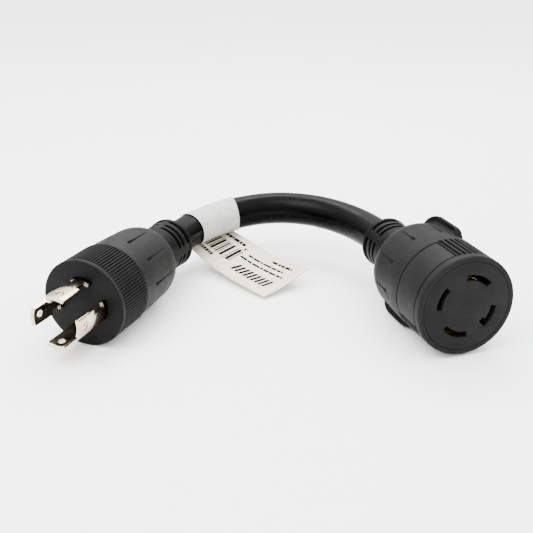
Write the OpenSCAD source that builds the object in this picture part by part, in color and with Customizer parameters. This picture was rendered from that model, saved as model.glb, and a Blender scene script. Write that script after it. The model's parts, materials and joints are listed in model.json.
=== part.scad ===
// Power adapter dogbone: a locking plug and a locking connector joined by a short, stiff,
// four-conductor cable. Millimetres, +Z up. The part rests on z = 0 and both faces look
// roughly along -Y. Inside a head, s is the distance behind its face.

/* [Plug] */
// Radius over the plug's rim and grip ribs
plug_r = 21.6; // [20.5:0.1:22.5]
// Number of grip ribs around the plug
plug_ribs = 90; // [36:2:90]
// Turn of the plug about the vertical
plug_yaw = 22.5; // [10:0.5:30]
// Radius of the circle through the middle of the blades
blade_circle_r = 12.2; // [11.8:0.1:12.6]
// Thickness of a blade
blade_t = 1.9; // [1.5:0.1:2]
// How far the blades stand out of the face
blade_len = 22; // [18:0.5:24]
// Half of the angle that a blade covers
blade_half = 22; // [18:1:23]

/* [Connector] */
// Radius of the connector's body
conn_r = 24.2; // [23.8:0.1:25]
// Turn of the connector about the vertical
conn_yaw = 18.2; // [10:0.5:30]
// Radius of the circle through the middle of the slots
slot_circle_r = 14; // [13.6:0.1:14.4]
// Width of a slot
slot_w = 2.8; // [2.3:0.1:3]
// Radius over the two wings
wing_r = 27.7; // [26:0.1:29]
// Thickness of a wing at its outer edge
wing_t = 4.4; // [3.5:0.1:6]

/* [Cable] */
// Outside diameter of the cable
cable_d = 18.6; // [17:0.1:19]
// Outside diameter of one insulated conductor
wire_d = 5; // [4.4:0.1:5.2]
// Diameter of one copper conductor
copper_d = 2.95; // [2.5:0.05:3.2]

/* [Label] */
// Thickness of the label
label_t = 0.3; // [0.15:0.05:0.5]

/* [Hidden] */
$fn = 96;

play = 0.05;                  // clearance between moulded pieces
rib_depth = 1.1;
rib_gap = 0.7;                // width of the gap between two ribs
rib_start = 1.8;
rib_end = 23.3;
root_r = plug_r - 1.4;        // plug's body under its ribs
band_r = plug_r - 0.8;        // smooth band behind the plug's ribs
groove_count = 10;            // grooves around each domed shoulder
boot_r = 13.2;
boot_end = 85.5;              // s at the end of each strain relief
bore_r = cable_d / 2 + 0.1;
jacket_start = 66;            // s at which the cable's jacket stops inside a strain relief
jacket_in_r = 6.6;
barrel_r = 2.7;               // crimp barrel at the tail of a blade or contact
lay_r = 3.9;                  // radius at which the conductors lie in the cable
lay_twist = 116;              // turn of the conductors from one head to the other
plug_barrel = 8;              // s at which the plug's blades end inside it
barrel_start = 7.5;           // s at which the plug's crimp barrels start
conn_barrel = 28;             // s at which the connector's crimp barrels start
barrel_len = 11;
face_back = 3;                // s at the back of the connector's face
housing_end = 30;             // s at the back of the block that holds the contacts
pocket_in = 4.2;              // a contact's pocket, inward of the slots' circle
pocket_out = 3;               // the same, outward
pocket_half = 9;              // half the pocket's width
grip_count = 12;              // grooves in each of the connector's two grips
grip_depth = 1.2;
grip_gap = 1.3;
panel_depth = 0.8;            // depth of the line around each panel
wing_angle = 62.5;
notch = 10;                   // angle cut from a blade's edge at its neck
hook_in = 1.6;                // how far the ground blade's hook reaches inward
conn_rest = wing_r * sin(wing_angle) + wing_t / 2 * cos(wing_angle);
plug_pos = [-89.3, -29.4, plug_r];
conn_pos = [86.4, -40.9, conn_rest];

// Angles of the conductors at each face, seen from the front, anticlockwise from the right
PLUG_ANGLE = [176, -4, 266, 86];
CONN_ANGLE = [248, 68, 158, -22];

plug_axis = [sin(plug_yaw), cos(plug_yaw), 0];
conn_axis = [-sin(conn_yaw), cos(conn_yaw), 0];
route_air = [[-52, 58.4, 21.8], [-47, 66.9, 22.4], [-40.5, 73.9, 23.2], [-33, 80.4, 24.2],
  [-24.5, 85.2, 25.3], [-15, 88.5, 26.3], [-5.5, 90.1, 27.1], [4.3, 90, 27.6],
  [14, 88.2, 27.8], [23.2, 84.7, 27.8], [31.7, 79.8, 27.5], [39.4, 73.6, 27],
  [46, 66.3, 26.6], [51.6, 58.2, 26.1], [56.1, 49.5, 25.8]];

function on_plug(s) = plug_pos + s * plug_axis;
function on_conn(s) = conn_pos + s * conn_axis;
jacket_route = concat([for (s = [jacket_start, 75, boot_end]) on_plug(s)], route_air,
  [for (s = [boot_end, 75, jacket_start]) on_conn(s)]);

// ---- sweeping along a route ----
function unit(v) = v / norm(v);
function last(p) = len(p) - 1;
function along(p, i) = unit(p[min(i + 1, last(p))] - p[max(i - 1, 0)]);
function side(t) = unit(cross(t, [0, 0, 1]));
function around(c, t, r, a) = c + r * (cos(a) * side(t) + sin(a) * cross(side(t), t));
function ring(p, i, r, n) = [for (k = [0:n - 1]) around(p[i], along(p, i), r, 360 * k / n)];
function run_length(p, i) = i <= 0 ? 0 : norm(p[i] - p[i - 1]) + run_length(p, i - 1);

module rod(p, r, n) {
  m = len(p);
  walls = [for (i = [0:m - 2]) for (k = [0:n - 1])
    [i * n + k, i * n + (k + 1) % n, (i + 1) * n + (k + 1) % n, (i + 1) * n + k]];
  caps = [[for (k = [n - 1:-1:0]) k], [for (k = [0:n - 1]) (m - 1) * n + k]];
  polyhedron([for (i = [0:m - 1]) each ring(p, i, r, n)], concat(walls, caps), convexity = 8);
}

module tube(p, r_out, r_in, n) {
  m = len(p);
  h = m * n;
  outer = [for (i = [0:m - 2]) for (k = [0:n - 1])
    [i * n + k, i * n + (k + 1) % n, (i + 1) * n + (k + 1) % n, (i + 1) * n + k]];
  inner = [for (f = outer) [h + f[3], h + f[2], h + f[1], h + f[0]]];
  front = [for (k = [0:n - 1]) [(k + 1) % n, k, h + k, h + (k + 1) % n]];
  back = [for (k = [0:n - 1]) let (a = (m - 1) * n) [a + k, a + (k + 1) % n,
    h + a + (k + 1) % n, h + a + k]];
  points = concat([for (i = [0:m - 1]) each ring(p, i, r_out, n)],
    [for (i = [0:m - 1]) each ring(p, i, r_in, n)]);
  polyhedron(points, concat(outer, inner, front, back), convexity = 8);
}

// ---- the four conductors ----
// The stations of a conductor: [point on the middle line, share of the lay, lay radius]
function blend(a, b, s, s0, s1) = let (u = max(0, min(1, (s - s0) / (s1 - s0))))
  a + (b - a) * u * u * (3 - 2 * u);
plug_s = [14, 20, 27, 34, 41, 48, 55, 61, 66, 75, 85.5];
conn_s = [85.5, 75, 66, 62, 57, 52, 47, 42, 38, 34];
middle = concat([for (s = plug_s) on_plug(s)], route_air, [for (s = conn_s) on_conn(s)]);
spread = concat([for (s = plug_s) blend(blade_circle_r, lay_r, s, 20, 60)],
  [for (p = route_air) lay_r], [for (s = conn_s) blend(slot_circle_r, lay_r, s, 38, 64)]);
turn_from = len(plug_s) - 1;
turn_to = len(middle) - len(conn_s);
turn_base = run_length(middle, turn_from);
turn_span = run_length(middle, turn_to) - turn_base;
function turned(i) = lay_twist * max(0, min(1, (run_length(middle, i) - turn_base) / turn_span));
function conductor(w) = [for (i = [0:last(middle)])
  around(middle[i], along(middle, i), spread[i], PLUG_ANGLE[w] + turned(i))];
function part_of(p, from, to) = [for (i = [from:to]) p[i]];
function insulated(w) = part_of(conductor(w), 1, last(middle) - 1);

module core(w) rod(conductor(w), copper_d / 2 - 0.02, 8);
module insulation(w) tube(insulated(w), wire_d / 2, copper_d / 2 + 0.02, 8);

// ---- placing things on the heads ----
module at_plug() translate(plug_pos) rotate([-90, 0, -plug_yaw]) children();
module at_conn() translate(conn_pos) rotate([-90, 0, conn_yaw]) children();
module spin(a) rotate([0, 0, -a]) children();
module up(s) translate([0, 0, s]) children();
module sector(r_in, r_out, from, to, s0, s1)
  spin(to) up(s0) rotate_extrude(angle = to - from) translate([r_in, 0]) square([r_out - r_in, s1 - s0]);
module domed_grooves(phase, floor_r, s0, s1, w)
  for (i = [0:groove_count - 1]) spin(phase + i * 360 / groove_count)
    translate([floor_r, -w / 2, s0]) cube([5, w, s1 - s0]);

// Rounded shoulder as points [r, s], from (r0, s0) to (r1, s1)
function shoulder(r0, s0, r1, s1) = [for (a = [0:10:90])
  [r1 + (r0 - r1) * cos(a), s0 + (s1 - s0) * sin(a)]];

// ---- plug ----
module plug_shell() color("#4a4a4c") at_plug() difference() {
  union() {
    rotate_extrude() polygon(concat([[18.7, 0.5], [plug_r - 0.3, 0.5], [plug_r, 0.8],
      [plug_r, rib_start], [root_r, rib_start], [root_r, rib_end - 0.3], [band_r, rib_end - 0.3],
      [band_r, 32]], shoulder(20, 48, 14, 61), [[13.3, 61], [13.3, 52], [16.9, 52], [18, 45]]));
    up(rib_start - 0.3) linear_extrude(rib_end - rib_start + 0.3) difference() {
      circle(plug_r - 0.1);
      circle(root_r - 0.7);
      for (i = [0:plug_ribs - 1]) rotate(i * 360 / plug_ribs)
        translate([plug_r - rib_depth, -rib_gap / 2]) square([2, rib_gap]);
    }
  }
  domed_grooves(0, 19.7, 32.4, 50, 1.8);
}

module blade_seat(a, hook) {
  sector(blade_circle_r - blade_t / 2 - play, blade_circle_r + blade_t / 2 + play,
    a - blade_half - 0.3, a + blade_half + 0.3, -1, plug_barrel);
  if (hook) spin(a + blade_half) translate([blade_circle_r - blade_t / 2 - hook_in - play, -0.1 - play, -1])
    cube([hook_in + blade_t / 2 + 2 * play, blade_t + 2 * play, plug_barrel + 1]);
  spin(a) translate([blade_circle_r, 0, barrel_start - play]) cylinder(r = barrel_r + play, h = 9);
}

module plug_face() color("#2b2b2c") at_plug() difference() {
  union() {
    cylinder(r = plug_r - 0.4, h = 0.5);
    up(0.5) cylinder(r = 18.7 - play, h = 8.5);
  }
  for (w = [0:3]) blade_seat(PLUG_ANGLE[w], w == 3);
}

// A blade with its notched neck, a lock hole near the tip and a crimp barrel behind
module blade(w, hook) color("#c9c4b4") at_plug() {
  a = PLUG_ANGLE[w];
  r_in = blade_circle_r - blade_t / 2;
  r_out = blade_circle_r + blade_t / 2;
  difference() {
    union() {
      sector(r_in, r_out, a - blade_half, a + blade_half, -blade_len, plug_barrel);
      if (hook) spin(a + blade_half) translate([r_in - hook_in, -0.1, -blade_len])
        cube([hook_in + blade_t / 2, blade_t, blade_len + plug_barrel]);
      spin(a) translate([blade_circle_r, 0, barrel_start]) cylinder(r = barrel_r, h = barrel_len);
    }
    spin(a) translate([0, 0, -blade_len + 4.5]) rotate([0, 90, 0]) translate([0, 0, r_in - 1])
      cylinder(d = 3.6, h = blade_t + 2);
    sector(r_in - 1, r_out + 1, a + blade_half - notch, a + blade_half + 1, -9, -2.5);
    if (hook) sector(r_in - 1, r_out + 1, a - blade_half - 1, a - blade_half + notch, -9, -2.5);
    spin(a) translate([blade_circle_r, 0, 14]) cylinder(d = copper_d, h = barrel_len);
  }
}
module blade_hot_x() blade(0, false);
module blade_hot_y() blade(1, false);
module blade_neutral() blade(2, false);
module blade_ground() blade(3, true);

module plug_carrier() color("#8a5a2c") at_plug() difference() {
  up(9) cylinder(r = 17.9, h = 15);
  for (w = [0:3]) spin(PLUG_ANGLE[w]) translate([blade_circle_r, 0, 8])
    cylinder(r = barrel_r + play, h = 18);
}

// ---- strain reliefs ----
// A flanged tube with three rows of slots, each row broken by four webs
module boot(flange, flange_t, flange_r, mouth_r, web) difference() {
  rotate_extrude() polygon([[mouth_r, flange], [flange_r, flange], [flange_r, flange + flange_t],
    [boot_r, flange + flange_t], [boot_r, 82.8], [boot_r + 0.4, 83.2], [boot_r + 0.4, 84.6],
    [boot_r, boot_end - 0.4], [boot_r - 1, boot_end], [bore_r, boot_end], [bore_r, jacket_start],
    [8, jacket_start], [8, flange + 10]]);
  for (s = [72.6, 76.7, 81.6]) for (i = [0:3])
    sector(boot_r - 2, boot_r + 2, web + 10.5 + 90 * i, web + 79.5 + 90 * i, s - 1, s + 1);
}
module plug_strain_relief() color("#232324") at_plug() boot(49, 3, 16.8, 12, 2.5);
module connector_strain_relief() color("#232324") at_conn() boot(50, 3, 17, 13, 56);

// ---- connector ----
// A wing is a fin with a thicker, rounded outer edge
module wing() rotate([90, 0, 0]) {
  linear_extrude(wing_t - 1.8, center = true)
    polygon([[22.5, 29.6], [24, 29.6], [wing_r - 0.6, 33.7], [wing_r - 0.6, 51],
      [wing_r - 2.4, 55], [wing_r - 5.5, 57.6], [16.5, 56.5], [20, 52], [22.5, 46.5]]);
  linear_extrude(wing_t, center = true)
    polygon([[wing_r - 3, 31.5], [wing_r - 1.2, 32], [wing_r, 33.6], [wing_r, 50.5],
      [wing_r - 0.8, 53.2], [wing_r - 2.4, 55.6], [wing_r - 4.6, 57.9], [wing_r - 6, 57],
      [wing_r - 3, 50.8]]);
}

module panel_outline(from, to) {
  difference() {
    sector(conn_r - panel_depth, conn_r + 1, from, to, 4.5, 22.3);
    sector(conn_r - panel_depth - 1, conn_r + 2, from + 1.4, to - 1.4, 5.1, 21.6);
  }
}

module grip_grooves(from, to)
  for (i = [0:grip_count - 1]) spin(from + (to - from) * i / (grip_count - 1))
    translate([conn_r - grip_depth, -grip_gap / 2, 4]) cube([2, grip_gap, 19]);

module connector_shell() color("#505052") at_conn() union() {
  difference() {
    rotate_extrude() polygon(concat([[21.8, 0.6], [conn_r - 0.3, 0.6], [conn_r, 0.9], [conn_r, 28]],
      shoulder(23.4, 45, 14.5, 58), [[13.3, 58], [13.3, 53], [17.2, 53], [21, 46],
      [21, face_back], [21.8, face_back]]));
    for (half = [0, 180]) {
      panel_outline(102.5 + half, 203.5 + half);
      grip_grooves(28 + half, 98 + half);
    }
    domed_grooves(9, 23.1, 33.7, 46.3, 1.8);
  }
  for (half = [0, 180]) spin(wing_angle + half) wing();
}

// The span of a slot, from its clockwise end to its anticlockwise end
function slot_span(w) = w == 2 ? [-22, 22] : w == 3 ? [-28, 16.5] : [-26.7, 26.7];
module slot(w, extra, s0, s1) sector(slot_circle_r - slot_w / 2 - extra,
  slot_circle_r + slot_w / 2 + extra, CONN_ANGLE[w] + slot_span(w)[0] - extra,
  CONN_ANGLE[w] + slot_span(w)[1] + extra, s0, s1);

module connector_face() color("#343435") at_conn() difference() {
  union() {
    cylinder(r = conn_r - 0.2, h = 0.6);
    up(0.6) cylinder(r = 21.8 - play, h = face_back - 0.6);
  }
  for (w = [0:3]) slot(w, 0, -1, 4);
  spin(CONN_ANGLE[3] + slot_span(3)[0])
    translate([slot_circle_r - slot_w / 2 - hook_in, 0.1 - slot_w, -1])
    cube([hook_in + slot_w / 2, slot_w, 5]);
}

// The block behind the face, with a pocket for each contact
module contact_housing() color("#2e2e2f") at_conn() difference() {
  up(face_back) cylinder(r = 21 - play, h = housing_end - face_back);
  for (w = [0:3]) spin(CONN_ANGLE[w]) translate([slot_circle_r - pocket_in, -pocket_half, face_back - 1])
    cube([pocket_in + pocket_out, 2 * pocket_half, housing_end - face_back + 2]);
}

// A contact is two curved leaves joined at the back, with a crimp barrel behind
module contact(w) color("#b98a4a") at_conn() {
  leaf = 0.8;
  difference() {
    union() {
      slot(w, 0.9, 6, conn_barrel);
      spin(CONN_ANGLE[w]) translate([slot_circle_r, 0, conn_barrel - leaf / 2])
        cylinder(r = barrel_r, h = barrel_len);
    }
    sector(slot_circle_r - slot_w / 2 - 0.1, slot_circle_r + slot_w / 2 + 0.1,
      CONN_ANGLE[w] - 40, CONN_ANGLE[w] + 40, 5, conn_barrel - leaf);
    spin(CONN_ANGLE[w]) translate([slot_circle_r, 0, 34]) cylinder(d = copper_d, h = barrel_len);
  }
}
module contact_hot_x() contact(0);
module contact_hot_y() contact(1);
module contact_neutral() contact(2);
module contact_ground() contact(3);

module connector_back_cover() color("#6a4526") at_conn() difference() {
  up(housing_end) cylinder(r = 20.9, h = 5);
  for (w = [0:3]) spin(CONN_ANGLE[w]) translate([slot_circle_r, 0, housing_end - 1])
    cylinder(r = barrel_r + play, h = 7);
}

// ---- cable ----
module cable_jacket() color("#1b1b1c") tube(jacket_route, cable_d / 2, jacket_in_r, 12);
module cable_filler() color("#8b7d64") rod(jacket_route, 1.3, 8);
module insulation_black() color("#202020") insulation(0);
module insulation_red() color("#b02a24") insulation(1);
module insulation_white() color("#e6e6e0") insulation(2);
module insulation_green() color("#2c7a3c") insulation(3);
module core_black() color("#b87333") core(0);
module core_red() color("#b87333") core(1);
module core_white() color("#b87333") core(2);
module core_green() color("#b87333") core(3);

// One strip: around the cable from its front underside, then down as a flag to the table
label_route = [[-46.4, 67.5, 22.4], [-40.5, 73.9, 23.2], [-33, 80.4, 24.2], [-23.2, 85.6, 25.4]];
flag_mid = [[-26.5, 44.4, 3.6], [-2.5, 63.4, 9]];
flag_far = [[-6.8, 21.5, 0.4], [17.8, 40.7, 9]];
label_from = -84;             // angle around the cable where the strip starts
label_to = 250;               // angle around the cable where the strip leaves it

function wrap_points(i, r) = [for (a = [label_from:(label_to - label_from) / 18:label_to])
  around(label_route[i], along(label_route, i), r, a)];
function flag_points(i, gap) = let (u = i / last(label_route), drop = [0, 0, -gap])
  [flag_mid[0] + u * (flag_mid[1] - flag_mid[0]) + drop,
   flag_far[0] + u * (flag_far[1] - flag_far[0]) + drop];
function strip(gap) = [for (i = [0:last(label_route)])
  concat(wrap_points(i, cable_d / 2 + 0.2 + gap), flag_points(i, gap))];

// A sheet with thickness, from two grids of points
module thick_sheet(over, under) {
  rows = len(over);
  cols = len(over[0]);
  h = rows * cols;
  cells = [for (i = [0:rows - 2]) for (j = [0:cols - 2]) let (a = i * cols + j, b = a + cols)
    each [[a, b, b + 1], [a, b + 1, a + 1]]];
  lower = [for (f = cells) [h + f[2], h + f[1], h + f[0]]];
  rim = concat([for (j = [0:cols - 2]) j], [for (i = [0:rows - 2]) i * cols + cols - 1],
    [for (j = [cols - 1:-1:1]) h - cols + j], [for (i = [rows - 1:-1:1]) i * cols]);
  sides = [for (k = [0:len(rim) - 1]) let (a = rim[k], b = rim[(k + 1) % len(rim)])
    each [[a, b, h + b], [a, h + b, h + a]]];
  polyhedron(concat([for (r = over) each r], [for (r = under) each r]),
    concat(cells, lower, sides), convexity = 6);
}
module cable_label() color("#e2e2db") thick_sheet(strip(0), strip(label_t));

plug_shell();
plug_face();
blade_hot_x();
blade_hot_y();
blade_neutral();
blade_ground();
plug_carrier();
plug_strain_relief();
connector_shell();
connector_face();
contact_housing();
contact_hot_x();
contact_hot_y();
contact_neutral();
contact_ground();
connector_back_cover();
connector_strain_relief();
cable_jacket();
cable_filler();
insulation_black();
insulation_red();
insulation_white();
insulation_green();
core_black();
core_red();
core_white();
core_green();
cable_label();
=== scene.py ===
"""Power adapter dogbone: the visible surfaces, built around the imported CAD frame. Metres."""

import json
import math

import bmesh
import bpy
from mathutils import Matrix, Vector, noise


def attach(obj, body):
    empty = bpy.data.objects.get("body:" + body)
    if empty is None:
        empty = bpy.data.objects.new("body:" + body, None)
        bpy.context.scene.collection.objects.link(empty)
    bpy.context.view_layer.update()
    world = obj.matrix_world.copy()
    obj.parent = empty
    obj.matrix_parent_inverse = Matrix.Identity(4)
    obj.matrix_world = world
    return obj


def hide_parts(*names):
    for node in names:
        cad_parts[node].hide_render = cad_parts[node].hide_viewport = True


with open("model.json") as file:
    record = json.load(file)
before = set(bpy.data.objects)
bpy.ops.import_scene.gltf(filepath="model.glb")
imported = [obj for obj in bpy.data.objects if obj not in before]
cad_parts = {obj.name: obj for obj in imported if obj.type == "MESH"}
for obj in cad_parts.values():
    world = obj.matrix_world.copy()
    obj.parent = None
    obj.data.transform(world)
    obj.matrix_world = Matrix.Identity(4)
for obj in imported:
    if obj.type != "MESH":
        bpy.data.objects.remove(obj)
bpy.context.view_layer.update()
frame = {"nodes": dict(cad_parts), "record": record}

MM = 0.001
UP = Vector((0, 0, 1))
BODY = "root"

# ---------------------------------------------------------------- places, from the frame

MOUNTS = {m["name"]: m for m in frame["record"]["mounts"]}


class Head:
    """A plug or connector: pos is its face's centre, back points into it, side is to the right."""

    def __init__(self, mount):
        self.pos = Vector(MOUNTS[mount]["pos_m"])
        self.back = -Vector(MOUNTS[mount]["axis"]).normalized()
        self.side = self.back.cross(UP)

    def at(self, r, degrees, s):
        """The point r mm from the axis, at an angle seen from the front, s mm behind the face."""
        a = math.radians(degrees)
        across = self.side * math.cos(a) + UP * math.sin(a)
        return self.pos + (across * r + self.back * s) * MM

    def flat(self, x, y, s):
        return self.pos + (self.side * x + UP * y + self.back * s) * MM


plug = Head("plug_face_seat")
conn = Head("connector_face_seat")

PLUG_R = 21.6
CONN_R = 24.2
BLADE_R = MOUNTS["blade_set"]["dims"]["pcd_mm"] / 2
SLOT_R = MOUNTS["slot_set"]["dims"]["pcd_mm"] / 2
PLUG_ANGLES = {"blade_hot_x": 176, "blade_hot_y": -4, "blade_neutral": 266, "blade_ground": 86}
SLOTS = [(248, -26.7, 26.7), (68, -26.7, 26.7), (158, -22, 22), (-22, -28, 16.5)]
WING_ANGLES = (62.5, 242.5)
BOOT_END = 85.5
JACKET_START = 66


def placed(name, data):
    """A new object in the scene."""
    obj = bpy.data.objects.new(name, data)
    bpy.context.scene.collection.objects.link(obj)
    return obj


# ---------------------------------------------------------------- camera

camera_data = bpy.data.cameras.new("camera")
camera_data.sensor_width = 36
camera_data.lens = 57.4
camera = placed("camera", camera_data)
camera.location = (-0.004, -0.3866, 0.1913)
camera.rotation_euler = (math.radians(90 - 22.9), 0, 0)
bpy.context.scene.camera = camera

# ---------------------------------------------------------------- mesh helpers


def piece(name, verts, faces, material, slot, sharp=32, nodes=()):
    """A mesh object that rides on the part's body, smooth except at edges sharper than sharp."""
    mesh = bpy.data.meshes.new(name)
    mesh.from_pydata([tuple(v) for v in verts], [], faces)
    mesh.validate()
    return dress(placed(name, mesh), material, sharp, nodes)


def dress(obj, material, sharp=32, nodes=()):
    """Gives a mesh object its material, shading and body, and hides the nodes it replaces."""
    mesh = obj.data
    tidy = bmesh.new()
    tidy.from_mesh(mesh)
    bmesh.ops.recalc_face_normals(tidy, faces=tidy.faces)
    tidy.to_mesh(mesh)
    tidy.free()
    mesh.materials.clear()
    mesh.materials.append(material)
    for polygon in mesh.polygons:
        polygon.use_smooth = True
    mesh.set_sharp_from_angle(angle=math.radians(sharp))
    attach(obj, BODY)
    if nodes:
        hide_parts(*nodes)
    return obj


def ring_faces(rings, steps, first=0, closed=False):
    """Quads between successive rings of steps points, and back to the first ring if closed."""
    last = rings if closed else rings - 1
    faces = []
    for i in range(last):
        a = first + i * steps
        b = first + ((i + 1) % rings) * steps
        for k in range(steps):
            n = (k + 1) % steps
            faces.append((a + k, a + n, b + n, b + k))
    return faces


def lathe(head, outer, inner, steps):
    """A closed turned solid: outer is [(s, radius function of the angle)], inner is [(s, r)]."""
    verts = []
    for s, radius in outer:
        for k in range(steps):
            degrees = 360 * k / steps
            verts.append(head.at(radius(degrees), degrees, s))
    for s, r in inner:
        for k in range(steps):
            verts.append(head.at(r, 360 * k / steps, s))
    return verts, ring_faces(len(outer) + len(inner), steps, closed=True)


def join(parts):
    """Several (verts, faces) as one."""
    verts, faces = [], []
    for v, f in parts:
        faces += [tuple(i + len(verts) for i in face) for face in f]
        verts += v
    return verts, faces


def stations(*stretches):
    """Rising positions: each stretch is (start, end, count), ends included once."""
    found = []
    for start, end, count in stretches:
        found += [start + (end - start) * i / count for i in range(count + 1)]
    return sorted({round(s, 4) for s in found})


def smooth(x, low, high):
    t = min(1, max(0, (x - low) / (high - low)))
    return t * t * (3 - 2 * t)


def window(x, low, high, soft):
    """1 between low and high, falling to 0 over soft outside them."""
    return smooth(x, low - soft, low) * (1 - smooth(x, high, high + soft))


def off_angle(a, b):
    return (a - b + 180) % 360 - 180


# ---------------------------------------------------------------- materials


class Shader:
    """A Principled material and short ways to add nodes to it."""

    def __init__(self, name, base, rough, metal=0.0, specular=0.5, coat=0.0):
        self.material = bpy.data.materials.new(name)
        self.material.use_nodes = True
        self.tree = self.material.node_tree
        self.shader = self.tree.nodes["Principled BSDF"]
        self.shader.inputs["Base Color"].default_value = (*base, 1)
        self.shader.inputs["Roughness"].default_value = rough
        self.shader.inputs["Metallic"].default_value = metal
        self.shader.inputs["Specular IOR Level"].default_value = specular
        self.shader.inputs["Coat Weight"].default_value = coat
        self.coordinates = self.tree.nodes.new("ShaderNodeTexCoord").outputs["Object"]
        self.normal = None

    def add(self, kind, **inputs):
        node = self.tree.nodes.new(kind)
        for key, value in inputs.items():
            socket = node.inputs[key.replace("_", " ")]
            if isinstance(value, bpy.types.NodeSocket):
                self.tree.links.new(value, socket)
            else:
                socket.default_value = value
        return node

    def noise(self, scale, detail=3.0, stretch=None):
        source = self.coordinates
        if stretch:
            source = self.add("ShaderNodeMapping", Vector=source, Scale=stretch).outputs["Vector"]
        made = self.add("ShaderNodeTexNoise", Vector=source, Scale=scale, Detail=detail)
        return made.outputs["Fac"]

    def mapped(self, fac, low, high, start=0.3, end=0.7):
        node = self.add("ShaderNodeMapRange", Value=fac)
        node.inputs["From Min"].default_value = start
        node.inputs["From Max"].default_value = end
        node.inputs["To Min"].default_value = low
        node.inputs["To Max"].default_value = high
        return node.outputs["Result"]

    def colour(self, fac, first, second, start=0.35, end=0.65):
        ramp = self.add("ShaderNodeValToRGB", Fac=fac)
        ramp.color_ramp.elements[0].position = start
        ramp.color_ramp.elements[0].color = (*first, 1)
        ramp.color_ramp.elements[1].position = end
        ramp.color_ramp.elements[1].color = (*second, 1)
        self.tree.links.new(ramp.outputs["Color"], self.shader.inputs["Base Color"])
        return self

    def rough(self, fac, low, high):
        self.tree.links.new(self.mapped(fac, low, high), self.shader.inputs["Roughness"])
        return self

    def bump(self, fac, height, strength=1.0):
        """Adds a bump of this height, in metres, on top of the ones before."""
        node = self.add("ShaderNodeBump", Height=fac, Distance=height, Strength=strength)
        if self.normal:
            self.tree.links.new(self.normal, node.inputs["Normal"])
        self.normal = node.outputs["Normal"]
        self.tree.links.new(self.normal, self.shader.inputs["Normal"])
        return self


def grey(level):
    return (level, level, level * 1.02)


def moulded(name, dark, light, rough_low, rough_high, specular=0.2, grain=4200, height=0.00002):
    """Satin moulded plastic: fine spark grain, faint flow marks and uneven sheen."""
    made = Shader(name, grey(light), rough_high, specular=specular)
    grain_noise = made.noise(grain, 2)
    made.colour(made.noise(90, 5), grey(dark), grey(light))
    made.rough(made.noise(220, 4), rough_low, rough_high)
    made.bump(made.noise(60, 2), 0.00006, 0.4)
    made.bump(grain_noise, height)
    return made.material


def rubber(name, dark, light, rough_low, rough_high, height, specular):
    made = Shader(name, grey(light), rough_high, specular=specular)
    made.colour(made.noise(140, 4), grey(dark), grey(light))
    made.rough(made.noise(160, 5), rough_low, rough_high)
    made.bump(made.noise(45, 2), height, 0.6)
    made.bump(made.noise(2600, 3), 0.00001)
    return made.material


def metal(name, first, second, rough_low, rough_high, streak):
    """Polished metal with fine drawing lines along one direction, as a Shader."""
    made = Shader(name, second, rough_high, metal=1.0)
    lines = made.noise(900, 4, streak)
    made.colour(made.noise(240, 4), first, second)
    made.rough(lines, rough_low, rough_high)
    made.bump(lines, 0.000001)
    return made


def paint_face_reflection(made, head, dark_reach):
    """Darkens a metal Shader's colour where it leaves a head's face, up to the given mm out of it: a
    painted reflection of the dark face.
    """
    ahead = made.add("ShaderNodeVectorMath")
    ahead.operation = "DOT_PRODUCT"
    made.tree.links.new(made.coordinates, ahead.inputs[0])
    ahead.inputs[1].default_value = -head.back
    face = head.pos.dot(-head.back)
    share = made.mapped(ahead.outputs["Value"], 0.12, 1, face + 0.0015, face + dark_reach * MM)
    tinted = made.shader.inputs["Base Color"].links[0].from_socket
    scaled = made.add("ShaderNodeVectorMath")
    scaled.operation = "SCALE"
    made.tree.links.new(tinted, scaled.inputs[0])
    made.tree.links.new(share, scaled.inputs["Scale"])
    made.tree.links.new(scaled.outputs["Vector"], made.shader.inputs["Base Color"])
    return made


def paper(name, dark, light, height, specular=0.25):
    made = Shader(name, light, 0.6, specular=specular)
    made.colour(made.noise(300, 6), dark, light)
    made.rough(made.noise(500, 3), 0.5, 0.7)
    made.bump(made.noise(110, 3), height)
    made.bump(made.noise(3500, 3), 0.00001)
    return made.material


plug_plastic = moulded("plug_plastic", 0.0066, 0.0092, 0.5, 0.6, 0.08)
conn_plastic = moulded("connector_plastic", 0.0056, 0.0078, 0.5, 0.6, 0.06)
face_plastic = moulded("plug_face_plastic", 0.0030, 0.0045, 0.48, 0.58, 0.06, height=0.00001)
conn_face_plastic = moulded("connector_face_plastic", 0.0040, 0.0060, 0.5, 0.6, 0.07,
                            height=0.00001)
wing_plastic = moulded("wing_plastic", 0.0016, 0.0026, 0.42, 0.52, 0.04)
boot_rubber = rubber("strain_relief_rubber", 0.0014, 0.0024, 0.38, 0.5, 0.00008, 0.05)
jacket_rubber = rubber("jacket_rubber", 0.0003, 0.0007, 0.2, 0.34, 0.0008, 0.045)
unpainted_nickel = metal("polished_nickel", (0.46, 0.38, 0.26), (0.58, 0.50, 0.36), 0.12, 0.17,
                     (1, 0.2, 1))
# the blades' colour darkens towards the plug's face: a painted reflection of the dark face
nickel = paint_face_reflection(unpainted_nickel, plug, 8).material
brass = metal("contact_brass", (0.62, 0.42, 0.18), (0.78, 0.58, 0.28), 0.2, 0.36,
              (1, 0.2, 1)).material
copper = metal("copper_strand", (0.6, 0.24, 0.11), (0.8, 0.4, 0.22), 0.22, 0.38,
               (4, 0.3, 4)).material
carrier_plastic = moulded("carrier_plastic", 0.10, 0.15, 0.5, 0.65, 0.4)
wrap_paper = paper("wrap_paper", (0.36, 0.37, 0.35), (0.43, 0.44, 0.42), 0.0003)
flag_paper = paper("flag_paper", (0.52, 0.50, 0.38), (0.62, 0.60, 0.48), 0.00012)
print_ink = paper("print_ink", (0.002, 0.002, 0.002), (0.006, 0.006, 0.006), 0.00001, 0.03)


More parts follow.
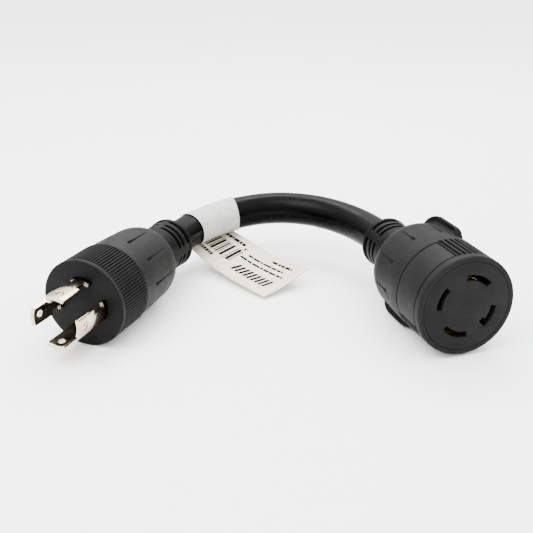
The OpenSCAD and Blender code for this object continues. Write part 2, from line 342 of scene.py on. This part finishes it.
def insulation(name, dark, light):
    made = Shader(name, light, 0.35)
    made.colour(made.noise(200, 3), dark, light)
    made.rough(made.noise(300, 3), 0.3, 0.42)
    made.bump(made.noise(1500, 2), 0.00001)
    return made.material


WIRE_COLOURS = {
    "black": ((0.01, 0.01, 0.01), (0.02, 0.02, 0.02)),
    "red": ((0.35, 0.02, 0.015), (0.5, 0.03, 0.02)),
    "white": ((0.68, 0.68, 0.64), (0.8, 0.8, 0.76)),
    "green": ((0.02, 0.14, 0.04), (0.03, 0.22, 0.06)),
}
filler_fibre = insulation("filler_fibre", (0.3, 0.26, 0.19), (0.5, 0.44, 0.34))

# ---------------------------------------------------------------- the cable's route

# The same points as in part.scad, in metres
ROUTE_AIR = [Vector(p) * MM for p in (
    (-52, 58.4, 21.8), (-47, 66.9, 22.4), (-40.5, 73.9, 23.2), (-33, 80.4, 24.2),
    (-24.5, 85.2, 25.3), (-15, 88.5, 26.3), (-5.5, 90.1, 27.1), (4.3, 90, 27.6),
    (14, 88.2, 27.8), (23.2, 84.7, 27.8), (31.7, 79.8, 27.5), (39.4, 73.6, 27),
    (46, 66.3, 26.6), (51.6, 58.2, 26.1), (56.1, 49.5, 25.8))]
INSIDE = (JACKET_START, 75, BOOT_END)
route = [plug.at(0, 0, s) for s in INSIDE] + ROUTE_AIR
route += [conn.at(0, 0, s) for s in reversed(INSIDE)]


def catmull_rom(a, b, c, d, t):
    """The point at t, 0 to 1, between b and c on a smooth curve through all four."""
    return 0.5 * (2 * b + (c - a) * t + (2 * a - 5 * b + 4 * c - d) * t * t
                  + (3 * b - a - 3 * c + d) * t ** 3)


def rounded_route(points, steps):
    """A smooth curve through the points, with this many steps between two."""
    padded = [points[0] * 2 - points[1]] + points + [points[-1] * 2 - points[-2]]
    found = []
    for i in range(1, len(padded) - 2):
        for k in range(steps):
            found.append(catmull_rom(*padded[i - 1:i + 3], k / steps))
    return found + [points[-1]]


class Path:
    """A curve by its length, with the side and up directions across it."""

    def __init__(self, points):
        self.points = points
        self.along = [0.0]
        for a, b in zip(points, points[1:]):
            self.along.append(self.along[-1] + (b - a).length)
        self.length = self.along[-1]

    def point(self, distance):
        distance = min(self.length, max(0.0, distance))
        i = 1
        while i < len(self.along) - 1 and self.along[i] < distance:
            i += 1
        share = (distance - self.along[i - 1]) / (self.along[i] - self.along[i - 1])
        return self.points[i - 1].lerp(self.points[i], share)

    def axes(self, distance):
        step = 0.002
        forward = (self.point(distance + step) - self.point(distance - step)).normalized()
        side = forward.cross(UP).normalized()
        return forward, side, side.cross(forward)

    def around(self, distance, r, degrees):
        """The point r mm from the curve; 0 degrees is the side toward the front, 90 is up."""
        _, side, up = self.axes(distance)
        a = math.radians(degrees)
        return self.point(distance) + (side * math.cos(a) + up * math.sin(a)) * r * MM


cable_path = Path(rounded_route(route, 8))

CABLE_D = 18.6
JACKET_IN_R = 6.6
LAY_TURN = 116 / 158          # degrees of conductor lay in each mm


def jacket_radius(distance, degrees):
    """The four conductors show through the jacket as soft lobes, with a slow unevenness."""
    mm = distance / MM
    lobe = 0.5 + 0.5 * math.cos(math.radians(4 * (degrees - LAY_TURN * mm - 40)))
    slow = noise.noise(Vector((mm / 26, math.cos(math.radians(degrees)), 3.1)))
    return CABLE_D / 2 - 0.04 - 0.1 * lobe + 0.06 * slow


def tube(path, radius, inner_r, spacing, steps):
    """A closed hollow tube along a path."""
    count = int(path.length / spacing)
    verts = []
    for i in range(count + 1):
        d = path.length * i / count
        verts += [path.around(d, radius(d, 360 * k / steps), 360 * k / steps) for k in range(steps)]
    for i in range(count, -1, -1):
        d = path.length * i / count
        verts += [path.around(d, inner_r, 360 * k / steps) for k in range(steps)]
    return verts, ring_faces(2 * (count + 1), steps, closed=True)


cable = piece("cable", *tube(cable_path, jacket_radius, JACKET_IN_R, 0.0015, 64), jacket_rubber,
              "jacket", nodes=["cable_jacket"])

# ---------------------------------------------------------------- the label

LABEL_SPAN = (0.0395, 0.0700)        # where the wrap lies along the cable's path
WRAP_R = CABLE_D / 2 + 0.1
STRIP_GAP = 0.22                     # between the two layers of the flag
WRAP_FROM, WRAP_TO = -92, 255        # angles around the cable
FLAG_SHARE = 0.32                    # share of the strip in each of the flag's two layers
STRIP_CELLS = (28, 220)              # across the strip and along it
COATED_SHARE = 0.335                 # where the wrap's paler finish starts and, mirrored, ends
PAPER_THICK = 0.00014
INK_LIFT, INK_THICK = 0.11, 0.02     # mm over the flag's top layer
FLAG_ROWS = [[Vector(p) * MM for p in row] for row in (
    ((-47.9, 68.5, 10.6), (-24.8, 87.1, 14.6)),
    ((-38.0, 57.2, 6.6), (-14.6, 76.0, 12.4)),
    ((-27.0, 44.2, 3.9), (-3.2, 62.6, 9.6)),
    ((-16.0, 31.6, 2.1), (8.4, 50.6, 8.4)),
    ((-5.6, 20.4, 0.9), (19.0, 39.6, 8.9)))]


def spline(points, t):
    """A point at 0 to 1 along a smooth curve through the points."""
    whole = t * (len(points) - 1)
    i = min(len(points) - 2, int(whole))
    before = points[i - 1] if i else points[0] * 2 - points[1]
    after = points[i + 2] if i + 2 < len(points) else points[-1] * 2 - points[-2]
    return catmull_rom(before, points[i], points[i + 1], after, whole - i)


def flag_point(u, v, lift=0.0):
    """u runs across the flag from left to right, v from the cable to its free end."""
    at = spline([row[0] for row in FLAG_ROWS], v).lerp(spline([row[1] for row in FLAG_ROWS], v), u)
    ripple = noise.noise(Vector((u * 1.6, v * 2.2, 7.7))) * 0.6 * smooth(v, 0.1, 0.5)
    curl = 0.9 * (2 * u - 1) ** 2 * smooth(v, 0.3, 1.0)
    return at + UP * (ripple + curl + lift) * MM


def wrap_point(u, degrees):
    d = LABEL_SPAN[0] + (LABEL_SPAN[1] - LABEL_SPAN[0]) * u
    d += 0.0008 * math.sin(math.radians(degrees)) * (u - 0.3)
    crease = abs(noise.noise(Vector((u * 9, degrees / 110, 1.3)))) * 0.55
    pull = noise.noise(Vector((u * 3 + degrees / 90, degrees / 30, 5.3)))
    rim = 0.22 * (1 - window(u, 0.05, 0.95, 0.04))
    return cable_path.around(d, WRAP_R + 0.35 - crease + 0.1 * pull + rim, degrees)


def strip_point(u, w):
    """w from 0 to 1 along the whole strip: up the flag's top layer, around, down its under layer."""
    if w < FLAG_SHARE:
        return flag_point(u, 1 - w / FLAG_SHARE, STRIP_GAP)
    if w > 1 - FLAG_SHARE:
        return flag_point(u, (w - 1 + FLAG_SHARE) / FLAG_SHARE, 0.0)
    turn = (w - FLAG_SHARE) / (1 - 2 * FLAG_SHARE)
    on_cable = wrap_point(u, WRAP_FROM + (WRAP_TO - WRAP_FROM) * turn)
    near = 1 - smooth(turn, 0.0, 0.09) + smooth(turn, 0.91, 1.0)
    return on_cable.lerp(flag_point(u, 0, STRIP_GAP * (1 - turn)), near)


def strip(name, material, nodes=()):
    """The whole strip as one thin sheet."""
    across, along = STRIP_CELLS
    verts = [strip_point(i / across, j / along)
             for i in range(across + 1) for j in range(along + 1)]
    faces = [(i * (along + 1) + j, i * (along + 1) + j + 1,
              (i + 1) * (along + 1) + j + 1, (i + 1) * (along + 1) + j)
             for i in range(across) for j in range(along)]
    obj = piece(name, verts, faces, material, "label", 60, nodes)
    thick = obj.modifiers.new("thickness", "SOLIDIFY")
    thick.thickness = PAPER_THICK
    thick.offset = 0
    return obj


wrap_label = strip("label_strip", flag_paper, ["cable_label"])
wrap_label.data.materials.append(wrap_paper)
for polygon in wrap_label.data.polygons:
    middle = (polygon.index % STRIP_CELLS[1] + 0.5) / STRIP_CELLS[1]
    polygon.material_index = 1 if COATED_SHARE < middle < 1 - COATED_SHARE else 0


def ink_patch(u0, u1, v0, v1, cells=2, skew=0.0):
    """A printed patch that follows the flag's top, as (verts, faces)."""
    lift = STRIP_GAP + INK_LIFT
    verts, faces = [], []
    for i in range(cells + 1):
        for j in range(cells + 1):
            u = u0 + (u1 - u0) * i / cells
            v = v0 + (v1 - v0) * j / cells + skew * (u - u0)
            verts.append(flag_point(u, v, lift))
            verts.append(flag_point(u, v, lift + INK_THICK))

    def corner(i, j, top):
        return (i * (cells + 1) + j) * 2 + top

    for i in range(cells):
        for j in range(cells):
            for top in (0, 1):
                faces.append((corner(i, j, top), corner(i + 1, j, top),
                              corner(i + 1, j + 1, top), corner(i, j + 1, top)))
    edge = [(i, 0) for i in range(cells)] + [(cells, j) for j in range(cells)]
    edge += [(i, cells) for i in range(cells, 0, -1)] + [(0, j) for j in range(cells, 0, -1)]
    for a, b in zip(edge, edge[1:] + edge[:1]):
        faces.append((corner(*a, 0), corner(*b, 0), corner(*b, 1), corner(*a, 1)))
    return verts, faces


def dashes(u, v0, v1, height, pattern, gap=0.008):
    """A line of small print as plain dashes of uneven length."""
    made, v, i = [], v0, 0
    while v < v1:
        length = pattern[i % len(pattern)]
        made.append(ink_patch(u - height / 2, u + height / 2, v, min(v1, v + length), 1))
        v += length + gap
        i += 1
    return made


BAR_WIDTHS = (2, 1, 1, 1, 2, 2, 1, 1, 3, 2, 1, 1, 2, 1, 1, 2, 3, 3, 1, 1, 3, 1, 1)
BAR_UNIT = 0.0102                    # share of the flag's length
ink = []
bar_v = -0.02
for index, width in enumerate(BAR_WIDTHS):
    step = width * BAR_UNIT
    if index % 2 == 0:
        ink.append(ink_patch(0.32, 0.7, bar_v, bar_v + step))
    bar_v += step
ink += dashes(0.22, 0.0, 0.2, 0.07, (0.03, 0.022, 0.026))
ink += dashes(0.84, -0.05, 0.3, 0.07, (0.07, 0.03, 0.045, 0.02))
ink += dashes(0.70, 0.42, 0.84, 0.045, (0.05, 0.08, 0.03, 0.09, 0.05))
ink += dashes(0.58, 0.38, 0.9, 0.045, (0.08, 0.05, 0.09, 0.03, 0.06))
ink += dashes(0.84, 0.64, 0.88, 0.055, (0.06, 0.03, 0.04))
ink.append(ink_patch(0.74, 0.8, 0.33, 0.35))
CHEVRONS = 9                         # a plain row of slanted strokes stands in for the name
for chevron in range(CHEVRONS):
    stroke_v = 0.44 + 0.44 * chevron / CHEVRONS
    ink.append(ink_patch(0.22, 0.42, stroke_v, stroke_v + 0.03, 2, 0.14))
label_print = piece("label_print", *join(ink), print_ink, "label", 60)

hidden = [f"insulation_{colour}" for colour in WIRE_COLOURS]
hidden += [f"core_{colour}" for colour in WIRE_COLOURS] + ["cable_filler"]

# ---------------------------------------------------------------- shells


def shoulder(s, s0, s1, r0, r1):
    """Radius of the quarter-ellipse shoulder from (s0, r0) to (s1, r1)."""
    share = min(1, max(0, (s - s0) / (s1 - s0)))
    return r1 + (r0 - r1) * math.sqrt(1 - share * share)


def dome_groove(r, s, degrees, phase, floor_r, s0, s1):
    """Cuts the ten shallow grooves around a shoulder, deepest at their front ends."""
    off = math.radians(abs(off_angle(degrees, phase + 36 * round((degrees - phase) / 36)))) * r
    dot = 1 - smooth(math.hypot(off, s - s0 - 0.9), 0.85, 1.2)
    line = window(off, -1, 0.35, 0.25) * window(s, s0 + 0.2, s1 - 0.2, 0.2)
    return r - max(1.5 * dot, max(0.0, r - floor_r) * line)


RIBS = 90
RIB_START, RIB_END = 1.9, 23.1
PLUG_SHOULDER = (48, 61, 20, 14)     # start, end and the radius at each
CONN_SHOULDER = (45, 58, 23.4, 14.5)


def plug_radius(s, degrees):
    """Rounded front, ribbed band, smooth band, taper, then the shoulder with its grooves."""
    if s < 1.3:
        return PLUG_R - 0.35 * (1 - math.sqrt(max(0, 1 - ((0.9 - min(s, 0.9)) / 0.4) ** 2)))
    if s < RIB_END + 0.35:
        wave = math.cos(math.radians(degrees * RIBS))
        crest = min(1, max(0, 0.5 + 1.25 * wave))
        band = window(s, RIB_START, RIB_END, 0.25)
        plain = PLUG_R if s < 2 else PLUG_R - 0.8
        ribbed = PLUG_R - 1.15 + 1.05 * crest
        return plain + (ribbed - plain) * band
    r = PLUG_R - 0.8
    if s > 32:
        r -= (s - 32) / 16 * (PLUG_R - 0.8 - 20) if s < 48 else 0
    if s >= 48:
        r = shoulder(s, *PLUG_SHOULDER)
    return dome_groove(r, s, degrees, 0, 19.7, 32.4, 50)


def turned(radius, positions):
    """The stations of a lathe whose radius depends on s and the angle."""
    return [(s, lambda degrees, s=s: radius(s, degrees)) for s in positions]


shoulder_stations = [48 + 13 * math.sin(math.radians(a)) for a in range(0, 91, 4)]
plug_stations = stations((0.5, 1.3, 6), (1.6, 1.95, 3), (2.4, 22.8, 6), (23.05, 23.45, 3),
                         (24, 31.8, 3), (32.2, 32.8, 4), (34, 48, 8), (49.6, 50.2, 3))
plug_stations = sorted(set(plug_stations) | {round(s, 4) for s in shoulder_stations})
shell_body = lathe(plug, turned(plug_radius, plug_stations),
                   [(61, 13.3), (52, 13.3), (52, 16.9), (45, 18), (0.5, 18.7)], 720)
piece("plug_shell_skin", *shell_body, plug_plastic, "plug_shell", 40, ["plug_shell"])

PANELS = ((102.5, 203.5), (282.5, 383.5))
GRIPS = ((28, 98), (208, 278))
GRIP_COUNT = 11


def conn_radius(s, degrees):
    """Rounded rim, barrel with grips and panel lines, taper, then the shoulder with its grooves."""
    if s < 1.2:
        r = CONN_R - 0.6 * (1 - math.sqrt(max(0, 1 - ((1.2 - s) / 0.6) ** 2)))
    elif s <= 28:
        r = CONN_R
    elif s < 45:
        r = CONN_R - (s - 28) / 17 * (CONN_R - 23.4)
    else:
        r = shoulder(s, *CONN_SHOULDER)
    turn = degrees % 360
    for low, high in GRIPS:
        if low - 3 < turn < high + 3:
            pitch = (high - low) / GRIP_COUNT
            nearest = low + pitch * min(GRIP_COUNT, max(0, round((turn - low) / pitch)))
            off = abs(turn - nearest) * math.radians(CONN_R)
            r -= 1.2 * window(off, -1, 0.68, 0.22) * window(s, 4.2, 22.9, 0.25)
    for low, high in PANELS:
        for shifted in (turn, turn + 360):
            if low - 2 < shifted < high + 2:
                side = min(abs(shifted - low), abs(shifted - high)) * math.radians(CONN_R)
                inside = low <= shifted <= high
                line = window(side, -1, 0.35, 0.15) * window(s, 4.4, 22.4, 0.15)
                if inside:
                    line = max(line, window(abs(s - 22.1), -1, 0.36, 0.15),
                               window(abs(s - 4.7), -1, 0.22, 0.15))
                r -= 0.8 * line
    return dome_groove(r, s, degrees, 9, 23.05, 33.7, 46.3)


conn_stations = stations((0.6, 1.2, 6), (3.9, 5.2, 9), (5.5, 21.5, 5), (21.6, 23.3, 14),
                         (24, 33.3, 4), (33.5, 34.1, 4), (35, 45, 6), (45.9, 46.6, 4))
conn_stations = sorted(set(conn_stations)
                       | {round(45 + 13 * math.sin(math.radians(a)), 4) for a in range(0, 91, 4)})


def wing(angle):
    """A fin with hollow sides and a rounded outer edge, as (verts, faces)."""
    top_line = [(29.2, 23.9), (30.6, 25.2), (32.4, 26.7), (33.6, 27.3), (35.2, 27.6), (42, 27.65),
                (50.3, 27.6), (52.6, 27.2), (54.6, 26.4), (56.4, 25.2), (57.7, 23.8), (58.2, 22.2)]
    verts, profile, rows = [], 26, 45
    for i in range(rows):
        t = i / (rows - 1) * (len(top_line) - 1)
        k = min(len(top_line) - 2, int(t))
        s = top_line[k][0] + (top_line[k + 1][0] - top_line[k][0]) * (t - k)
        top = top_line[k][1] + (top_line[k + 1][1] - top_line[k][1]) * (t - k)
        base = conn_base(s) - 1.2
        for j in range(profile + 1):
            side = -1 if j < profile / 2 else 1
            q = 1 - abs(2 * j / profile - 1) ** 1.35
            hollow = 0.95 * math.sin(math.pi * min(1, q * 1.08)) ** 2 * window(s, 35, 52, 5)
            half = 2.15 + 1.5 * (1 - q) ** 2.2 - hollow
            rounding = math.sqrt(max(0, 1 - max(0, (q - 0.78) / 0.22) ** 2))
            offset = side * half * rounding
            r = base + (top - base) * q
            out = math.radians(angle)
            x = r * math.cos(out) - offset * math.sin(out)
            y = r * math.sin(out) + offset * math.cos(out)
            verts.append(conn.flat(x, y, s))
    faces = ring_faces(rows, profile + 1)
    first_end = tuple(range(profile + 1))
    return verts, faces + [first_end, tuple(len(verts) - 1 - profile + k for k in first_end)]


def conn_base(s):
    """The connector's radius under a wing, with its shoulder a little longer than the shell's."""
    start, end, r0, r1 = CONN_SHOULDER
    if s < start:
        return CONN_R - max(0, s - 28) / 17 * (CONN_R - r0)
    return shoulder(s, start, end + 0.6, r0, r1)


shell_body = lathe(conn, turned(conn_radius, conn_stations),
                   [(58, 13.3), (53, 13.3), (53, 17.2), (46, 21), (3, 21), (3, 21.85),
                    (0.6, 21.85)], 900)
piece("connector_shell_skin", *shell_body, conn_plastic, "connector_shell", 40, ["connector_shell"])
piece("connector_wings_skin", *join([wing(a) for a in WING_ANGLES]), wing_plastic, "connector_shell")

# ---------------------------------------------------------------- strain reliefs

SLOT_ROWS = (72.6, 76.7, 81.6)


def boot_radius(web):
    """A strain relief's radius: three rows of slots, left solid near web and each 90 degrees on."""
    def radius(s, degrees):
        r = 13.2 + 0.4 * window(s, 83.1, 84.7, 0.5)
        if s > 84.6:
            r -= 1.1 * (1 - math.sqrt(max(0, 1 - ((s - 84.6) / 0.9) ** 2)))
        off = abs(off_angle(degrees, web + 90 * round((degrees - web) / 90)))
        open_here = smooth(off, 10, 11.2)
        for row in SLOT_ROWS:
            r -= 2.0 * open_here * window(abs(s - row), -1, 0.85, 0.2)
        return r
    return radius


def boot(name, head, web, start, flange_r, mouth_r, nodes):
    """A strain relief around the cable, with a flange inside the shell."""
    places = [start, start + 3, start + 3.01, 60, 66, 70]
    for row in SLOT_ROWS:
        places += [row + d for d in (-1.3, -1.06, -0.95, -0.84, -0.4, 0, 0.4, 0.84, 0.95, 1.06, 1.3)]
    places += [79.2, 82.7, 82.9, 83.2, 84, 84.6, 84.8, 85, 85.2, 85.35, 85.46]
    shape = boot_radius(web)

    def radius(s, degrees):
        return flange_r if s <= start + 3 else shape(s, degrees)

    return piece(name, *lathe(head, turned(radius, sorted(places)),
                              [(85.5, 12), (85.5, 9.9), (85.1, 9.42), (66, 9.42), (66, 8),
                               (start + 10, 8), (start, mouth_r)], 360),
                 boot_rubber, "boot", 40, nodes)


boot("plug_strain_relief_skin", plug, 2.5, 49, 16.8, 12, ["plug_strain_relief"])
boot("connector_strain_relief_skin", conn, 56, 50, 17, 13, ["connector_strain_relief"])

# ---------------------------------------------------------------- flat pieces cut from an outline


def cut_plate(outline, holes, thickness, bevel):
    """A bevelled plate in mm in the XY plane, centred on z = 0, as a bmesh."""
    curve = bpy.data.curves.new("cut", "CURVE")
    curve.dimensions = "2D"
    curve.fill_mode = "BOTH"
    curve.extrude = thickness / 2 - bevel
    curve.bevel_depth = bevel
    curve.bevel_resolution = 2
    curve.offset = -bevel
    for loop in [outline] + list(holes):
        line = curve.splines.new("POLY")
        line.points.add(len(loop) - 1)
        for point, (x, y) in zip(line.points, loop):
            point.co = (x, y, 0, 1)
        line.use_cyclic_u = True
    holder = placed("cut", curve)
    evaluated = holder.evaluated_get(bpy.context.evaluated_depsgraph_get())
    mesh = bpy.data.meshes.new_from_object(evaluated)
    bpy.data.objects.remove(holder)
    bpy.data.curves.remove(curve)
    made = bmesh.new()
    made.from_mesh(mesh)
    bpy.data.meshes.remove(mesh)
    bmesh.ops.remove_doubles(made, verts=made.verts, dist=0.002)
    return made


def arc(cx, cy, r, start, end, count):
    return [(cx + r * math.cos(math.radians(start + (end - start) * i / count)),
             cy + r * math.sin(math.radians(start + (end - start) * i / count)))
            for i in range(count + 1)]


def circle(r, count=96):
    return arc(0, 0, r, 0, 360 - 360 / count, count - 1)


def curved_slot(centre, low, high, mid_r, width, hook=0.0):
    """Outline of a curved slot; a hook turns its clockwise end inward."""
    a, b = centre + low, centre + high
    outline = arc(0, 0, mid_r + width / 2, a, b, 14)
    if hook > 0:
        end = math.radians(a)
        radial = (math.cos(end), math.sin(end))
        across = (-math.sin(end), math.cos(end))
        inner = mid_r - width / 2
        wide = width / inner
        outline += arc(0, 0, inner, b, a + math.degrees(wide), 10)
        for r, t in ((inner - hook, width), (inner - hook, 0)):
            outline.append((radial[0] * r + across[0] * t, radial[1] * r + across[1] * t))
        return outline
    return outline + arc(0, 0, mid_r - width / 2, b, a, 14)


def in_face(made, head, s):
    """Turns a plate's verts into the head's face plane, its middle s mm behind the face."""
    for vert in made.verts:
        vert.co = head.flat(vert.co.x, vert.co.y, s - vert.co.z)


def merged(name, plates, material, sharp, nodes):
    """Several plates as one piece."""
    mesh = bpy.data.meshes.new(name)
    whole = bmesh.new()
    for made in plates:
        part = bpy.data.meshes.new("part")
        made.to_mesh(part)
        made.free()
        whole.from_mesh(part)
        bpy.data.meshes.remove(part)
    whole.to_mesh(mesh)
    whole.free()
    return dress(placed(name, mesh), material, sharp, nodes)


SLOT_W = 2.8
SLOT_HOOK = 1.6              # how far the ground slot turns inward
HOOK_IN = 1.6                # the same for the ground blade
face_slots = [curved_slot(c, low, high, SLOT_R, SLOT_W, SLOT_HOOK if i == 3 else 0)
              for i, (c, low, high) in enumerate(SLOTS)]
insert = cut_plate(circle(21.65), face_slots, 2.9, 0.16)
in_face(insert, conn, 1.5)
lip = cut_plate(circle(24.0, 160), [circle(21.8, 160)], 0.6, 0.18)
in_face(lip, conn, 0.32)
merged("connector_face_skin", [insert, lip], conn_face_plastic, 40,
       ["connector_face"])

BLADE_T = 1.9
BLADE_HALF = 22               # degrees to each side of a blade's middle
NOTCH = 10                    # degrees cut from its edge at the neck
seats = [curved_slot(a, -BLADE_HALF - 0.8, BLADE_HALF + 0.8, BLADE_R, BLADE_T + 0.24)
         for a in PLUG_ANGLES.values()]
disc = cut_plate(circle(PLUG_R - 0.4, 160), seats, 3, 0.25)
in_face(disc, plug, 1.5)
merged("plug_face_skin", [disc], face_plastic, 40, ["plug_face"])

# ---------------------------------------------------------------- blades

BLADE_LEN = 22
ROOT = -2.4                   # how far a visible blade reaches into the face
NECK = (2.5, 9)               # where the notch lies, out from the face


def blade_outline(both):
    """A flat blade, notched at its neck on the right, or on both sides."""
    half = math.radians(BLADE_HALF) * BLADE_R
    cut = math.radians(NOTCH) * BLADE_R
    left = -half
    points = [(left, ROOT)]
    if both:
        points += [(left, NECK[0]), (left + cut, NECK[0] + 0.1), (left + cut, NECK[1] - 0.5),
                   (left, NECK[1])]
    points += arc(left + 0.7, BLADE_LEN - 0.7, 0.7, 180, 90, 4)
    points += arc(half - 0.7, BLADE_LEN - 0.7, 0.7, 90, 0, 4)
    points += [(half, NECK[1]), (half - cut, NECK[1] - 0.5), (half - cut, NECK[0] + 0.1),
               (half, NECK[0]), (half, ROOT)]
    return points


def bend_blade(made, angle):
    """Wraps a flat plate around the plug's axis at the blades' radius."""
    half = math.radians(BLADE_HALF) * BLADE_R
    cuts = 14
    for i in range(1, cuts):
        geometry = made.verts[:] + made.edges[:] + made.faces[:]
        bmesh.ops.bisect_plane(made, geom=geometry, dist=0.0001, plane_no=(1, 0, 0),
                               plane_co=(-half + 2 * half * i / cuts, 0, 0))
    for vert in made.verts:
        x, y, z = vert.co
        degrees = angle + math.degrees(x / BLADE_R)
        vert.co = plug.at(BLADE_R + z, degrees, -y)


def blade(node, angle):
    """A bent blade with its hole; the ground one also has a hook turned inward."""
    ground = node == "blade_ground"
    hole = [arc(0, BLADE_LEN - 4.5, 1.8, 0, 350, 27)]
    plate = cut_plate(blade_outline(ground), hole, BLADE_T, 0.2)
    bend_blade(plate, angle)
    plates = [plate]
    if ground:
        inner = BLADE_R - BLADE_T / 2
        hook = cut_plate([(inner - HOOK_IN, ROOT), (inner + 0.6, ROOT), (inner + 0.6, BLADE_LEN),
                          (inner - HOOK_IN + 0.6, BLADE_LEN), (inner - HOOK_IN, BLADE_LEN - 0.6)],
                         [], BLADE_T, 0.2)
        end = math.radians(angle + BLADE_HALF)
        for vert in hook.verts:
            r, y, z = vert.co
            t = z - BLADE_T / 2
            vert.co = plug.flat(r * math.cos(end) - t * math.sin(end),
                                r * math.sin(end) + t * math.cos(end), -y)
        plates.append(hook)
    return merged(node + "_plate", plates, nickel, 35, [node])


for blade_node, blade_angle in PLUG_ANGLES.items():
    blade(blade_node, blade_angle)

# ---------------------------------------------------------------- CAD nodes that keep their shape


def finish_node(name, material):
    """Gives a CAD node that keeps its own shape a material."""
    mesh = frame["nodes"][name].data
    mesh.materials.clear()
    mesh.materials.append(material)


for colour, (dark_tone, light_tone) in WIRE_COLOURS.items():
    finish_node(f"insulation_{colour}", insulation(f"wire_{colour}", dark_tone, light_tone))
    finish_node(f"core_{colour}", copper)
for contact in ("hot_x", "hot_y", "neutral", "ground"):
    finish_node(f"contact_{contact}", brass)
finish_node("plug_carrier", carrier_plastic)
finish_node("connector_back_cover", carrier_plastic)
finish_node("contact_housing", conn_face_plastic)
finish_node("cable_filler", filler_fibre)

# ---------------------------------------------------------------- floor and light

floor_mesh = bpy.data.meshes.new("floor")
floor_mesh.from_pydata([(-4, -4, 0), (4, -4, 0), (4, 4, 0), (-4, 4, 0)], [], [(0, 1, 2, 3)])
floor = placed("floor", floor_mesh)
floor_look = Shader("floor_paper", (0.93, 0.93, 0.93), 0.9, specular=0.1)
floor_look.colour(floor_look.noise(3, 3), (0.92, 0.92, 0.92), (0.94, 0.94, 0.94))
floor_mesh.materials.append(floor_look.material)

world = bpy.data.worlds.new("studio")
world.use_nodes = True
sky = world.node_tree
direction = sky.nodes.new("ShaderNodeTexCoord")
height = sky.nodes.new("ShaderNodeSeparateXYZ")
glow = sky.nodes.new("ShaderNodeMapRange")
glow.inputs["From Max"].default_value = 0.8
glow.inputs["To Min"].default_value = 0.5
glow.inputs["To Max"].default_value = 5.2
sky.links.new(direction.outputs["Generated"], height.inputs["Vector"])
sky.links.new(height.outputs["Z"], glow.inputs["Value"])
sky.links.new(glow.outputs["Result"], sky.nodes["Background"].inputs["Strength"])
sky.nodes["Background"].inputs["Color"].default_value = (1, 1, 1, 1)
bpy.context.scene.world = world


def softbox(name, place, aim, width, height, watts):
    """An area light, sizes in metres."""
    data = bpy.data.lights.new(name, "AREA")
    data.shape = "RECTANGLE"
    data.size, data.size_y = width, height
    data.energy = watts
    lamp = placed(name, data)
    lamp.location = place
    lamp.rotation_euler = (Vector(aim) - Vector(place)).to_track_quat("-Z", "Y").to_euler()


softbox("key", (-0.35, -0.25, 0.75), (0, 0, 0.02), 0.5, 0.5, 9)
softbox("top_back", (0.1, 0.5, 0.7), (0, 0.03, 0.02), 0.7, 0.25, 8)
